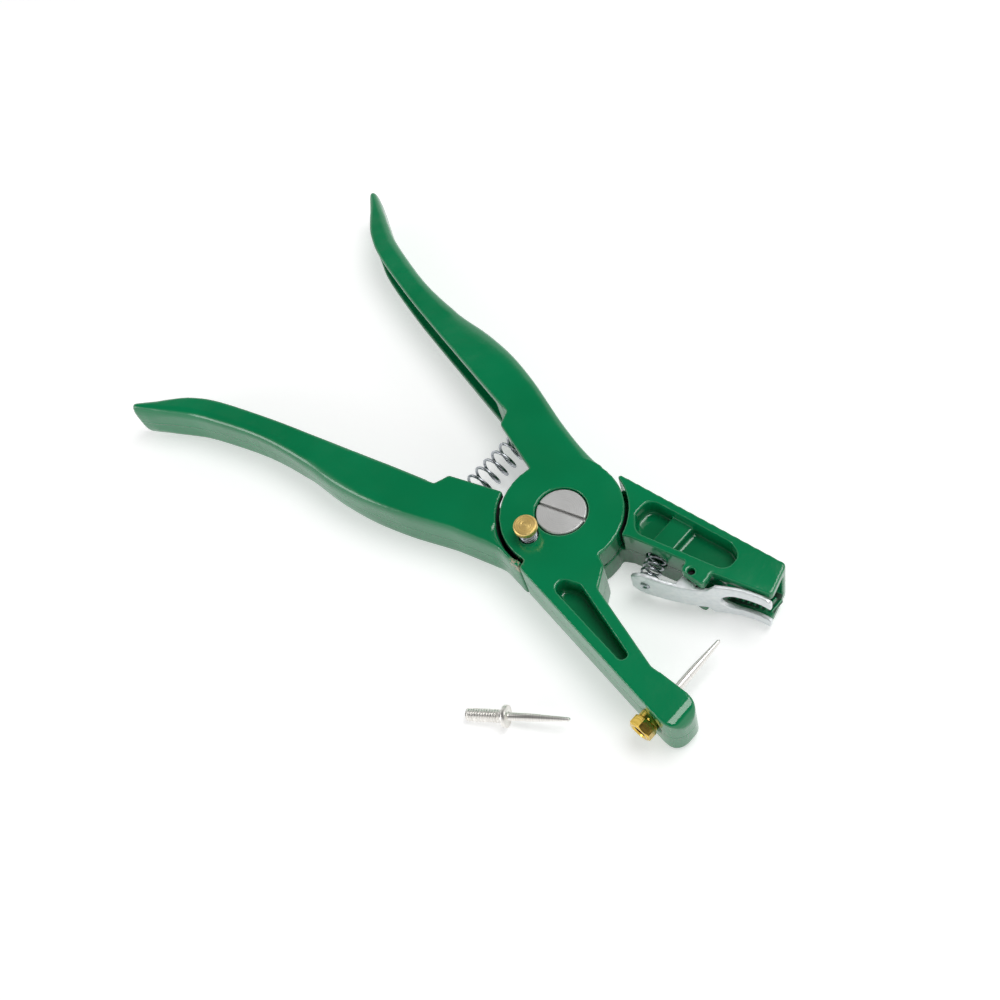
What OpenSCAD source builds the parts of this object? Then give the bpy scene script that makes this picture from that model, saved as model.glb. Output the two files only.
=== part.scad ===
// Ear tag pliers.
// Two cast levers are half-lapped at a round hub and turn on a slotted pivot screw.
// One lever carries a tapered pin, the other a hollow jaw with a sprung, forked clip.
// Origin: on the pivot axis, at the underside. +X points to the jaws, +Z up.

/* [Castings] */
// Thickness of both castings at the hub
body_t = 20; // [18:0.5:23]
// Radius of the two lapped hub discs
hub_r = 21; // [20.5:0.25:22]
// Running gap round each hub disc
hub_gap = 1.2; // [0.8:0.1:1.5]
// Gap between the two hub discs
lap_gap = 0.7; // [0.5:0.05:1]
// Angle between open and closed handles
close_angle = 20; // [14:1:21]

/* [Handles] */
// Distance along X from the pivot to where the tips start to round
handle_reach = 164; // [150:1:180]
// Distance of each tip from the centre line
handle_spread = 66.5; // [58:0.5:74]
// Widest part of a handle, near the hub
shoulder_w = 16.6; // [15:0.2:19]
// Width of a handle where the palm rests
grip_w = 9.4; // [8:0.2:12]
// Thickness of a handle from the grip to the tip
grip_t = 17.6; // [15:0.2:18]
// Rounding of the outer rim of a handle
handle_rim = 3.6; // [2:0.2:4]
// Thickness of the outer wall of a handle
web_t = 4; // [3:0.25:5]
// Thickness of the flanges above and below the channel
flange_t = 3.6; // [3:0.2:4.4]

/* [Pin arm] */
// Length of the nose beyond the pin's axis
nose_l = 12; // [10:0.5:18]
// Distance of the arm's pin face from the centre line
pin_face = 23.2; // [22:0.2:24]
// Depth of the pocket on top of the arm
arm_pocket_d = 7.5; // [3:0.5:9]
// Wall left beside the arm's pocket
arm_wall = 4; // [3:0.2:4.6]
// Rounding of the nose, from the top to the front
nose_rim = 4.2; // [2:0.2:5]

/* [Clip jaw] */
// Distance from the pivot to the jaw's end
jaw_reach = 72.2; // [70:0.2:75]
// Distance of the pin's axis from the jaw's end
pin_inset = 6.2; // [5:0.2:8]
// Depth of the tag space from the jaw's end
tag_depth = 14.7; // [13:0.1:16]
// Depth of the pocket on top of the jaw
jaw_pocket_d = 6.8; // [4:0.2:7]
// Wall left beside the jaw's pocket
jaw_wall = 2.5; // [2:0.1:3]
// Thickness of the plates above and below the tag space
jaw_plate_t = 4; // [3.6:0.1:4.4]
// Thickness of the jaw's back wall
jaw_back_t = 3; // [2.4:0.2:4]
// Height of the gripping ribs on the lower plate
rib_h = 0.6; // [0.3:0.1:0.8]
// Number of gripping ribs
rib_count = 7; // [4:1:8]

/* [Pivot] */
// Radius of the screw's head and of the sleeve nut's head
head_r = 8.6; // [8:0.1:9]
// Thickness of both heads
head_t = 3; // [2.4:0.2:4]
// Gap round both heads
head_gap = 0.4; // [0.3:0.1:0.6]
// Radius of the sleeve that the levers turn on
sleeve_r = 5.5; // [5:0.1:6]
// Radius of the screw's thread
screw_r = 3.5; // [3:0.1:4]
// Width of the screwdriver slot
slot_w = 1.1; // [0.8:0.1:1.6]
// Depth of the screwdriver slot
slot_d = 1.3; // [0.8:0.1:1.8]
// Direction of the screwdriver slot, in degrees from +X
slot_angle = 16; // [0:1:180]
// Radial clearance of turning and sliding fits
run_clear = 0.05; // [0.02:0.01:0.1]

/* [Handle spring] */
// Distance of the spring from the pivot
spring_x = 35.5; // [34.5:0.25:36.5]
// Distance of each spring seat from the centre line
seat_y = 17.5; // [17:0.25:18.5]
// Mean radius of the coils
spring_r = 4.5; // [4:0.1:4.8]
// Wire diameter
spring_wire = 1.1; // [0.8:0.1:1.3]
// Number of coils
spring_turns = 8.5; // [6:0.5:10]
// Radius of the pegs that the coils sit on
peg_r = 3.2; // [2.5:0.1:3.3]
// Length of the pegs
peg_l = 5; // [3:0.5:6]

/* [Lock] */
// Distance of the lock button from the pivot
lock_reach = 13.4; // [13.2:0.1:14]
// Direction of the lock button, in degrees from +X
lock_angle = 258; // [240:1:262]
// Radius of the button's cap
cap_r = 4; // [3.6:0.1:4.4]
// Thickness of the button's cap
cap_t = 2.4; // [1.8:0.2:3.2]
// Height of the cap's top above the hub
cap_rise = 6.4; // [6:0.2:8]
// Radius of the stem
stem_r = 1.75; // [1.5:0.05:2]
// Radius of the stem's foot
foot_r = 3; // [2.6:0.1:3.1]
// Thickness of the stem's foot
foot_t = 2.8; // [2:0.2:3]
// Free travel of the button
lock_travel = 3; // [2:0.2:3]
// Mean radius of the lock spring's coils
lock_spring_r = 2.7; // [2.5:0.05:2.9]
// Wire diameter of the lock spring
lock_wire = 0.7; // [0.5:0.05:0.8]
// Number of coils of the lock spring
lock_turns = 4.5; // [3:0.5:5]

/* [Clip] */
// Thickness of the clip's sheet
clip_t = 1.5; // [1.2:0.1:1.8]
// Height of the clip's tail
tail_h = 12.4; // [11.5:0.2:13]
// Height of the clip's neck
neck_h = 11.2; // [10:0.2:11.6]
// Height of the clip's fork
fork_h = 17.4; // [14:0.2:18]
// Height of the slot in the fork
slot_h = 8.2; // [5:0.2:9]
// Depth of that slot from the jaw's end
slot_in = 14.4; // [12:0.1:15]
// Thickness of the clip's ears
ear_t = 1.4; // [1:0.1:1.8]
// Radius of the pin that the clip turns on
clip_pin_r = 1.25; // [1:0.05:1.4]
// Mean radius of the clip spring's coils
clip_spring_r = 3.1; // [2.8:0.1:3.3]
// Wire diameter of the clip spring
clip_wire = 0.85; // [0.6:0.05:0.9]
// Number of coils of the clip spring
clip_turns = 5; // [4:0.5:6]

/* [Applicator pins] */
// Length of the bare pin in front of the flange
needle_l = 20.6; // [18:0.2:21]
// Radius of the pin's straight root
needle_r = 1.35; // [1.2:0.05:1.5]
// Length of the pin's straight root
needle_root = 7; // [4:0.5:9]
// Radius of the pin's point
point_r = 0.65; // [0.5:0.05:0.8]
// Radius of the flange
flange_r = 3.7; // [3.3:0.1:4]
// Thickness of the flange
flange_w = 1.6; // [1.2:0.1:2]
// Outer radius of the thread
thread_r = 2.2; // [2:0.05:2.4]
// Length of the thread
thread_l = 12.6; // [11:0.2:14]
// Pitch of the thread
thread_pitch = 0.9; // [0.7:0.1:1.2]
// Depth of the thread
thread_d = 0.25; // [0.15:0.05:0.35]
// Radius of the brass nut's sleeve inside the arm
nut_sleeve_r = 3.1; // [2.9:0.1:3.4]
// Depth of that sleeve inside the arm
nut_sleeve_l = 5; // [3:0.5:6]
// Radius of the brass nut's collar
nut_collar_r = 3.6; // [3.5:0.1:4]
// Length of the brass nut's collar
nut_collar_l = 2.4; // [1.6:0.2:3]
// Width of the brass nut's hexagon across its flats
nut_hex_w = 7.4; // [7:0.1:8]
// Length of the brass nut's hexagon
nut_hex_l = 3.8; // [3:0.2:5]
// Where the spare pin's flange lies, along X
spare_x = 27.5; // [24:0.5:32]
// Where the spare pin's flange lies, along Y
spare_y = -61.6; // [-70:0.2:-56]
// Direction of the spare pin, in degrees from +X
spare_angle = 34; // [0:1:60]

/* [Hidden] */
$fn = 48;

// Small distances shared by many pieces
past = 1;
seat_gap = 0.3;
face_gap = 0.05;
chamfer = 0.4;
head_sink = 0.2;

// Heights
mid_z = body_t / 2;
lap_top = mid_z + lap_gap / 2;
lap_low = mid_z - lap_gap / 2;
cut_r = hub_r + hub_gap;
channel_low = flange_t;
channel_top = body_t - flange_t;

// Handle form: share of the reach, share of the spread outside the hub,
// share of the widening from the grip to the shoulder
handle_form = [
    [0.28, 0.307, 0.93], [0.37, 0.395, 1], [0.46, 0.445, 0.82], [0.565, 0.456, 0.31], [0.69, 0.522, 0],
    [0.835, 0.686, 0.02], [0.9, 0.796, 0], [0.945, 0.89, -0.15], [0.975, 0.957, -0.3]
];
// The hub's shoulder between the disc and the first of those places
shoulder_form = [[0.012, 0.013], [0.07, 0.053], [0.12, 0.103], [0.166, 0.156], [0.22, 0.228]];
form_steps = 4;
shoulder_steps = 3;
rim_steps = 4;
tip_steps = 6;
tip_bulge = 8.4;

// Boss over the spring, next to the hub
boss_tip = [-41, 13];
boss_notch = [-43, 18.4];
boss_angle = 163.5;
boss_under = 4;
boss_r = 1;

// Opening stop between the pin arm and the other lever's tongue
stop_angle = 277;
tongue_r = cut_r + 2;
tongue_end = stop_angle - seat_gap / tongue_r * 180 / PI;
tongue_start = 252;

// Pin arm edges
pin_x = jaw_reach - pin_inset;
arm_reach = pin_x + nose_l;
arm_out_slope = 0.158;
arm_in_slope = 0.318;
arm_in_y = 4.8;
lobe = [24.4, -6.4];
lobe_end = 28.6;
lobe_angle = -12.5;
nose_round = 0.423;
nose_r = nose_round * (-arm_out(arm_reach) - pin_face);
pad_start = pin_x - flange_r - past;

// Clip jaw edges
jaw_top_angle = 73;
jaw_out_y = 21.6;
jaw_out_slope = 0.1015;
jaw_in_y = 1.35;
jaw_in_slope = 0.213;
jaw_end_lean = 3.1;
lip_slope = 0.268;
lip_y = -1.95;
jaw_root = cut_r + 1.5;
lug_share = 0.6593;
lug_drop = 2.69;
lug_x = lug_share * jaw_reach;
lug_y = jaw_in(lug_x) - lug_drop;
lug_w = 8.4;
lug_out = 1.6;
wall_end = lug_x - 5;
tag_space_x = jaw_reach - tag_depth;
slot_x = jaw_reach - slot_in;

// Clip: share of the jaw's reach, and distance of the sheet's middle from the jaw's inner edge
clip_form = [
    [0.4266, 9.49], [0.5332, 8.65], [0.6163, 7.73], [0.6925, 6.3],
    [0.7687, 4.17], [0.867, 1.68], [0.9529, 0.9], [1.0139, 1.19]
];
clip_plan = [for (q = clip_form) [q.x * jaw_reach, jaw_in(q.x * jaw_reach) - q.y]];
ear_r = 2.6;

// Functions

function unit(v) = v / norm(v);
function turn(v, a) = [v.x * cos(a) - v.y * sin(a), v.x * sin(a) + v.y * cos(a)];
function polar(r, a) = r * [cos(a), sin(a)];
function mix(a, b, t) = a + (b - a) * t;
function ease(t) = let (c = max(0, min(1, t))) c * c * (3 - 2 * c);
function pick(p, i) = p[max(0, min(len(p) - 1, i))];

// A smooth curve through the points p, in n steps a span
function curve_point(a, b, c, d, t) =
    0.5 * (2 * b + (c - a) * t + (2 * a - 5 * b + 4 * c - d) * t * t + (3 * b - a - 3 * c + d) * t * t * t);
function curve(p, n) = [
    for (i = [0:len(p) - 2])
        for (k = [0:n - 1])
            curve_point(pick(p, i - 1), p[i], p[i + 1], pick(p, i + 2), k / n),
    p[len(p) - 1]
];

// The points halfway between neighbours of p
function halfway(p) = [for (i = [0:len(p) - 2]) (p[i] + p[i + 1]) / 2];

// An arc about the pivot
function arc(r, a0, a1, n) = [for (k = [0:n]) polar(r, mix(a0, a1, k / n))];

// The corner b between a and c, rounded to radius r
function corner(a, b, c, r, n = 5) =
    let (
        u = unit(a - b),
        v = unit(c - b),
        half = acos(u * v) / 2,
        centre = b + unit(u + v) * r / sin(half),
        start = b + u * r / tan(half) - centre,
        side = sign(u.x * v.y - u.y * v.x)
    )
    [for (k = [0:n]) centre + turn(start, -side * (180 - 2 * half) * k / n)];

// A closed outline with its corners rounded to the radii r
function rounded(p, r, n = 9) =
    let (m = len(p))
    [for (i = [0:m - 1]) each corner(p[(i + m - 1) % m], p[i], p[(i + 1) % m], r[i], n)];

// A strip of width t along the points p, as a closed outline
function strip_normal(p, i) = let (d = unit(pick(p, i + 1) - pick(p, i - 1))) [-d.y, d.x];
function strip(p, t) = concat(
    [for (i = [0:len(p) - 1]) p[i] - strip_normal(p, i) * t / 2],
    [for (i = [len(p) - 1:-1:0]) p[i] + strip_normal(p, i) * t / 2]
);

// Arm and jaw edges as lines over x
function arm_out(x) = -(tongue_r - 0.3 + arm_out_slope * x);
function arm_in(x) = -(arm_in_y + arm_in_slope * x);
function jaw_out(x) = jaw_out_y + jaw_out_slope * x;
function jaw_in(x) = jaw_in_y + jaw_in_slope * x;
function lip(x) = lip_y + lip_slope * x;

// Handle edges, for the handle on the +Y side
function handle_y(share) = hub_r + (handle_spread - hub_r) * share;
handle_line = curve(handle_form, form_steps);
handle_n = len(handle_line);
handle_outer = [for (s = handle_line) [-handle_reach * s.x, handle_y(s.y)]];
handle_width = [for (s = handle_line) grip_w + (shoulder_w - grip_w) * s.z];
handle_inner = [for (i = [0:handle_n - 1]) handle_outer[i] - [0, handle_width[i]]];
handle_mid = (handle_outer + handle_inner) / 2;
shoulder_line = curve(concat(shoulder_form, [[handle_form[0].x, handle_form[0].y]]), shoulder_steps);
shoulder = [
    for (i = [0:len(shoulder_line) - 2])
        [-handle_reach * shoulder_line[i].x, handle_y(shoulder_line[i].y)]
];
tip_dir = unit(handle_mid[handle_n - 1] - handle_mid[handle_n - 3]);
tip_side = [tip_dir.y, -tip_dir.x];
tip_taper = 0.74;
tip_r = tip_taper * (handle_outer[handle_n - 1] - handle_inner[handle_n - 1]) * tip_side / 2;
tip_points = [
    for (k = [0:tip_steps])
        let (a = 180 * k / tip_steps)
        handle_mid[handle_n - 1] + tip_side * tip_r * cos(a) + tip_dir * (tip_bulge - tip_r + tip_r * sin(a))
];
tip_rim = 0.9 * tip_r;
tip_rise = 0.36 * grip_t;

// The handle's root runs into the hub, where it falls a hair behind the hub's faces
root_l = 4;
root_step = 0.12;
root_hair = 0.02;
root_outer = handle_outer[0] + [root_l, -2.2];
root_inner = handle_inner[0] + [root_l, 1];
function root_drop(x) = root_step * max(0, x - handle_outer[0].x) / root_l;
root_fade = 8;
root_rim = 0.5;
function outer_rim(i) = mix(root_rim, min(handle_rim, 0.31 * handle_width[i]), ease(i / root_fade));
function inner_rim(i) = mix(root_rim, tip_rim, ease((i - 0.7 * handle_n) / (0.3 * handle_n)));

// Half the thickness of a handle over x: even at the hub, thinner from the grip on
thin_start = 0.285 * handle_reach;
thin_end = 0.6 * handle_reach;
function thinned(x) = ease((-x - thin_start) / (thin_end - thin_start));
function half_t(x) = mix(body_t - 2 * root_drop(x), grip_t, thinned(x)) / 2;

// Outline points with the width and the height of the rounded rim at each; the rim rises to the tip
function rimmed(p, r, h) = [for (q = p) [q.x, q.y, r, h]];
function rim_rise(r, i) = mix(r, tip_rise, ease((i - 0.75 * handle_n) / (0.25 * handle_n)));
function edge_point(p, r, i) = [p.x, p.y, r, rim_rise(r, i)];

// Handle on the +Y side: a plate with rounded rims, from its root to its tip
module handle() {
    outline = concat(
        rimmed([root_outer], root_rim, root_rim),
        [for (i = [0:handle_n - 1]) edge_point(handle_outer[i], outer_rim(i), i)],
        rimmed(tip_points, tip_rim, tip_rise),
        [for (i = [handle_n - 1:-1:0]) edge_point(handle_inner[i], inner_rim(i), i)],
        rimmed([root_inner], root_rim, root_rim)
    );
    n = len(outline);
    flat = [for (q = outline) [q.x, q.y]];
    inward = [
        for (i = [0:n - 1])
            let (
                d0 = unit(flat[i] - flat[(i + n - 1) % n]),
                d1 = unit(flat[(i + 1) % n] - flat[i]),
                m = [-d0.y - d1.y, d0.x + d1.x]
            )
            m / (1 + d0 * d1)
    ];
    levels = [for (k = [0:rim_steps]) 90 * k / rim_steps];
    function ring(a, up) = [
        for (i = [0:n - 1])
            let (
                q = flat[i] + inward[i] * outline[i].z * (1 - sin(a)),
                drop = half_t(flat[i].x) - outline[i][3] * (1 - cos(a))
            )
            [q.x, q.y, mid_z + up * drop]
    ];
    points = concat(
        [for (a = levels) each ring(a, -1)],
        [for (k = [rim_steps:-1:0]) each ring(levels[k], 1)]
    );
    last = 2 * rim_steps + 1;
    strips = [
        for (k = [0:handle_n - 1])
            each [[k, k + 1, n - 1 - k], [k + 1, n - 2 - k, n - 1 - k]]
    ];
    tip_cap = [for (i = [handle_n:n - 1 - handle_n]) i];
    caps = concat(strips, [tip_cap]);
    sides = [
        for (j = [0:last - 1])
            for (i = [0:n - 1])
                let (a = j * n + i, b = j * n + (i + 1) % n)
                each [[a, a + n, b + n], [a, b + n, b]]
    ];
    tops = [for (c = caps) [for (i = [len(c) - 1:-1:0]) c[i] + last * n]];
    polyhedron(points, concat(caps, sides, tops), convexity = 10);
}

// Channel along the handle's inner side
module channel() {
    first = 1;
    final = handle_n - 10;
    outer = halfway(handle_outer);
    inner = halfway(handle_inner);
    back = [for (i = [first:final]) outer[i] - [0, web_t]];
    front = [for (i = [final:-1:first]) inner[i] - [0, handle_rim]];
    translate([0, 0, channel_low])
        linear_extrude(channel_top - channel_low)
            polygon(concat(back, front));
}

// Recess below the boss, and the room for the handle spring in it
module spring_recess() {
    boss_root = polar(hub_r, boss_angle);
    under = unit([boss_tip.y - boss_root.y, boss_root.x - boss_tip.x]);
    translate([0, 0, -past])
        linear_extrude(channel_top + past)
            polygon([
                [boss_notch.x - past, 0], [boss_root.x, 0], boss_root + under * boss_under,
                boss_tip + under * boss_under, boss_notch + [-past, past]
            ]);
    translate([-spring_x - spring_r - spring_wire - past / 2, 0, channel_low])
        cube([2 * (spring_r + spring_wire) + past, seat_y, channel_top - channel_low]);
}

module spring_peg() {
    translate([-spring_x, seat_y + past, mid_z])
        rotate([90, 0, 0])
            cylinder(r = peg_r, h = peg_l + past);
}

// A lever's blank: the hub that is given, a channelled handle and a spring peg
module blank() {
    difference() {
        union() {
            children();
            difference() {
                handle();
                channel();
            }
        }
        spring_recess();
    }
    spring_peg();
}

// Where the hub ends at the handle's root
hub_lap = 0.5;
hub_end = handle_outer[0].x + hub_lap;
hub_end_points = [
    [hub_end, mix(handle_outer[0].y, root_outer.y, hub_lap / root_l) + root_hair],
    [hub_end, mix(handle_inner[0].y, root_inner.y, hub_lap / root_l) - root_hair]
];

// Outline of the pin lever's hub and arm, anticlockwise from the boss
arm_start = polar(tongue_r, stop_angle);
arm_end_out = [arm_reach, arm_out(arm_reach)];
arm_end_in = [arm_reach, -pin_face];
arm_hub = concat(
    [boss_notch],
    corner(boss_notch, boss_tip, polar(hub_r, boss_angle), boss_r),
    arc(hub_r, boss_angle, stop_angle, 18),
    [arm_start],
    corner(arm_start, arm_end_out, arm_end_in, nose_r),
    corner(arm_end_out, arm_end_in, [pad_start, -pin_face], nose_r),
    [[pad_start, -pin_face], [pad_start - 3, arm_in(pad_start - 3)], [lobe_end, arm_in(lobe_end)]],
    corner([lobe_end, arm_in(lobe_end)], lobe, polar(hub_r, lobe_angle), 1.5),
    arc(hub_r, lobe_angle, 90, 16),
    shoulder,
    hub_end_points
);

// Outline of the clip lever's hub and jaw, mirrored so that its handle lies on the +Y side too
function flip(p) = [for (q = p) [q.x, -q.y]];
jaw_corner = [jaw_reach - jaw_end_lean, jaw_out(jaw_reach - jaw_end_lean)];
full_turn = 360;
heel_angle = 14;
jaw_notch = 3;
jaw_lip = [jaw_reach, lip(jaw_reach)];
lug_in = [lug_x + lug_w / 2 + 1.2, lip(lug_x + lug_w / 2 + 1.2)];
lug_a = [lug_x + lug_w / 2 + 2, lug_y - lug_out];
lug_b = [lug_x - lug_w / 2 + 1.2, lug_y - lug_out];
lug_root = [lug_x - lug_w / 2 + 0.5, jaw_in(lug_x - lug_w / 2 + 0.5)];
jaw_heel = [jaw_root, jaw_in(jaw_root)];
jaw_start = polar(tongue_r - 0.6, jaw_top_angle);
jaw_outline = concat(
    [jaw_start],
    corner(jaw_start, jaw_corner, jaw_lip, 1.2, 3),
    corner(jaw_corner, jaw_lip, lug_in, 0.8, 3),
    [lug_in],
    corner(lug_in, lug_a, lug_b, 1.2, 3),
    corner(lug_a, lug_b, lug_root, 1, 3),
    [lug_root],
    corner(lug_root, jaw_heel, polar(hub_r, heel_angle), 0.8, 3)
);
jaw_hub = concat(
    [boss_notch],
    corner(boss_notch, boss_tip, polar(hub_r, boss_angle), boss_r),
    flip(arc(hub_r, full_turn - boss_angle, jaw_top_angle + jaw_notch, 20)),
    flip(jaw_outline),
    flip(arc(hub_r, heel_angle - 1, tongue_end - full_turn, 16)),
    flip(arc(tongue_r, tongue_end - full_turn, tongue_start - full_turn, 4)),
    [for (i = [3 * shoulder_steps:len(shoulder) - 1]) shoulder[i]],
    hub_end_points
);

// Pin lever

module pin_lever() {
    color([0.0, 0.42, 0.25])
        blank()
            finished_arm();
}

module finished_arm() {
    difference() {
        intersection() {
            linear_extrude(body_t)
                polygon(arm_hub);
            nose_side();
        }
        translate([0, 0, -past])
            lap_cut(lap_top + past);
        translate([0, 0, body_t])
            mirror([0, 0, 1])
                pivot_bore();
        lock_bore();
        arm_pocket();
        pin_bore();
    }
}

// Side view of the pin lever, with a rounded nose
module nose_side() {
    low = [arm_reach, 0];
    high = [arm_reach, body_t];
    tail = hub_end - past;
    translate([0, handle_spread, 0])
        rotate([90, 0, 0])
            linear_extrude(2 * handle_spread)
                polygon(concat(
                    [[tail, 0]],
                    corner([tail, 0], low, high, nose_rim),
                    corner(low, high, [tail, body_t], nose_rim),
                    [[tail, body_t]]
                ));
}

// Room for the other lever's hub disc
lap_sides = 72;

module lap_cut(h) {
    linear_extrude(h)
        polygon([for (k = [0:lap_sides - 1]) polar(cut_r, 360 * (k + 0.3) / lap_sides)]);
}

// Bore for the sleeve, with a counterbore at z = 0 for a head
module pivot_bore() {
    head_floor = head_t + seat_gap;
    rotate_extrude()
        polygon([
            [0, -past], [head_r + head_gap, -past], [head_r + head_gap, head_floor],
            [sleeve_r + run_clear, head_floor], [sleeve_r + run_clear, body_t + past], [0, body_t + past]
        ]);
}

// Stepped bore of the lock: a well for the spring above, a web for the stem, a well for the foot below
lock_at = polar(lock_reach, lock_angle);
foot_top = lap_top + foot_t + lock_travel + face_gap + seat_gap;
web_top = foot_top + 1.5;
lock_well_r = lock_spring_r + lock_wire / 2 + seat_gap;

module lock_bore() {
    foot_bore = foot_r + run_clear;
    stem_bore = stem_r + run_clear;
    at_lock(0)
        rotate_extrude()
            polygon([
                [0, 0], [foot_bore, 0], [foot_bore, foot_top], [stem_bore, foot_top], [stem_bore, web_top],
                [lock_well_r, web_top], [lock_well_r, body_t + past], [0, body_t + past]
            ]);
}

// Pocket on top of the arm, between the hub and the pin
pocket_gap = 15;
arm_pocket_x = [hub_r - 4, pin_x - pocket_gap];
pocket_round = 0.6;
narrow_r = 1.4;

module arm_pocket() {
    a = arm_pocket_x[0];
    b = arm_pocket_x[1];
    c = a + 6;
    low = arm_out(a) + arm_wall;
    high = arm_in(a) - 2 * arm_wall;
    wide_r = pocket_round * (high - low);
    translate([0, 0, body_t - arm_pocket_d])
        linear_extrude(arm_pocket_d + past)
            polygon(rounded([
                [a, low], [b - past, arm_out(b) + arm_wall], [b, arm_in(b) - arm_wall],
                [c, arm_in(c) - arm_wall], [a, high]
            ], [wide_r, narrow_r, narrow_r, wide_r, wide_r]));
}

// The pin's bore and the brass nut's counterbore, across the arm
nut_seat = arm_out(pin_x - nut_collar_r) + seat_gap;
nut_room = 10;

module across(y) {
    translate([pin_x, y, mid_z])
        rotate([-90, 0, 0])
            children();
}

module pin_bore() {
    spot_r = nut_collar_r + 1.2;
    sleeve_bore = nut_sleeve_r + run_clear;
    thread_bore = thread_r + run_clear;
    sleeve_floor = nut_sleeve_l + face_gap;
    far = -nut_seat;
    across(nut_seat)
        rotate_extrude()
            polygon([
                [0, -nut_room], [spot_r, -nut_room], [spot_r, 0], [sleeve_bore, 0],
                [sleeve_bore, sleeve_floor], [thread_bore, sleeve_floor], [thread_bore, far], [0, far]
            ]);
}

// Clip lever

module clip_lever() {
    color([0.0, 0.42, 0.25])
        mirror([0, 1, 0])
            blank()
                mirror([0, 1, 0])
                    finished_jaw();
}

module finished_jaw() {
    difference() {
        linear_extrude(body_t)
            polygon(flip(jaw_hub));
        translate([0, 0, lap_low])
            lap_cut(body_t);
        pivot_bore();
        lock_socket();
        jaw_pocket();
        tag_space();
        clip_room();
        clip_spring_well();
        translate([lug_x, lug_y, -past])
            cylinder(r = clip_pin_r, h = body_t + 2 * past);
    }
    ribs();
}

// Hole that the lock's foot drops into when the handles are closed
lock_socket_at = polar(lock_reach, lock_angle + close_angle);

module lock_socket() {
    translate([lock_socket_at.x, lock_socket_at.y, -past])
        cylinder(r = foot_r + run_clear + 0.15, h = body_t);
}

// Pocket on top of the jaw, with a raised block that houses the clip spring's well
block_before = 6;
block_after = 2;
block_h = 2.8;

module jaw_pocket() {
    a = jaw_root - 3.5;
    b = tag_space_x - 1.5;
    low = jaw_in(b) + jaw_wall;
    high = jaw_out(b) - jaw_wall - 2.5;
    end_r = pocket_round * (high - low);
    translate([0, 0, body_t - jaw_pocket_d])
        difference() {
            linear_extrude(jaw_pocket_d + past)
                polygon(rounded([
                    [a, jaw_in(a) + 2 * jaw_wall + 3.4], [a + 4.5, jaw_in(a + 4) + jaw_wall],
                    [b, low], [b, high], [b - 5, jaw_out(b - 5) - jaw_wall], [a, jaw_out(a) - jaw_wall]
                ], [for (k = [0:5]) end_r]));
            translate([clip_spring_foot.x - block_before, 0, -past])
                cube([block_before + block_after, 2 * hub_r, block_h + past]);
        }
}

// Space for the tag between the jaw's plates, open at the end and at the fork
module tag_space() {
    far = jaw_reach + 5;
    translate([0, 0, jaw_plate_t])
        linear_extrude(body_t - 2 * jaw_plate_t)
            polygon([
                [tag_space_x, 0], [far, 0], [far, jaw_out(far) - jaw_back_t],
                [tag_space_x, jaw_out(tag_space_x) - jaw_back_t]
            ]);
}

// Room for the clip's ears and neck, beside the pocket
module clip_room() {
    translate([0, 0, jaw_plate_t])
        linear_extrude(body_t - 2 * jaw_plate_t)
            polygon([
                [wall_end, 0], [tag_space_x + past, 0], [tag_space_x + past, jaw_in(tag_space_x)],
                [wall_end, lug_y + ear_r + 0.8]
            ]);
}

// Gripping ribs across the lower plate, behind its lip and seen through the fork
rib_l = 5.5;
rib_inset = 1.5;
rib_setback = 1;

module ribs() {
    pitch = (jaw_reach - tag_space_x - rib_inset) / rib_count;
    for (k = [0:rib_count - 1]) {
        x = tag_space_x + rib_inset + k * pitch;
        translate([x, lip(x + pitch) + rib_setback, jaw_plate_t - past])
            cube([pitch / 2, rib_l, past + rib_h]);
    }
}

// Clip spring: stands on the inner face of the clip's tail and runs into a well in the jaw's wall
clip_steps = 8;
clip_line = curve(clip_plan, clip_steps);
tail_spot = 5;
tail_normal = strip_normal(clip_line, tail_spot);
clip_spring_foot = clip_line[tail_spot] + tail_normal * (clip_t / 2 + seat_gap);
clip_spring_l = 11;
well_start = 3;

module along_clip_spring() {
    translate([clip_spring_foot.x, clip_spring_foot.y, mid_z])
        rotate([0, 0, atan2(tail_normal.y, tail_normal.x)])
            rotate([0, 90, 0])
                children();
}

module clip_spring_well() {
    along_clip_spring()
        translate([0, 0, well_start])
            cylinder(r = clip_spring_r + clip_wire / 2 + seat_gap, h = clip_spring_l - well_start + seat_gap);
}

// Pivot

module pivot_screw() {
    top = body_t - head_sink;
    color([0.74, 0.74, 0.73])
        difference() {
            union() {
                translate([0, 0, top - head_t])
                    rotate_extrude($fn = 96)
                        polygon([
                            [0, 0], [head_r, 0], [head_r, head_t - chamfer],
                            [head_r - chamfer, head_t], [0, head_t]
                        ]);
                translate([0, 0, head_t + 2])
                    cylinder(r = screw_r, h = top - 2 * head_t);
            }
            rotate([0, 0, slot_angle])
                translate([-head_r - past, -slot_w / 2, top - slot_d])
                    cube([2 * (head_r + past), slot_w, slot_d + past]);
        }
}

module pivot_sleeve_nut() {
    spanner_r = 1.1;
    spanner_at = (screw_r + head_r) / 2;
    color([0.7, 0.7, 0.7])
        difference() {
            union() {
                rotate_extrude($fn = 96)
                    polygon([
                        [0, 0], [head_r - chamfer, 0], [head_r, chamfer], [head_r, head_t], [0, head_t]
                    ]);
                cylinder(r = sleeve_r, h = body_t - head_sink - head_t - face_gap);
            }
            translate([0, 0, head_t + 1])
                cylinder(r = screw_r + run_clear, h = body_t);
            for (side = [-1, 1])
                translate([side * spanner_at, 0, -past])
                    cylinder(r = spanner_r, h = 1.5 + past);
        }
}

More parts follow.
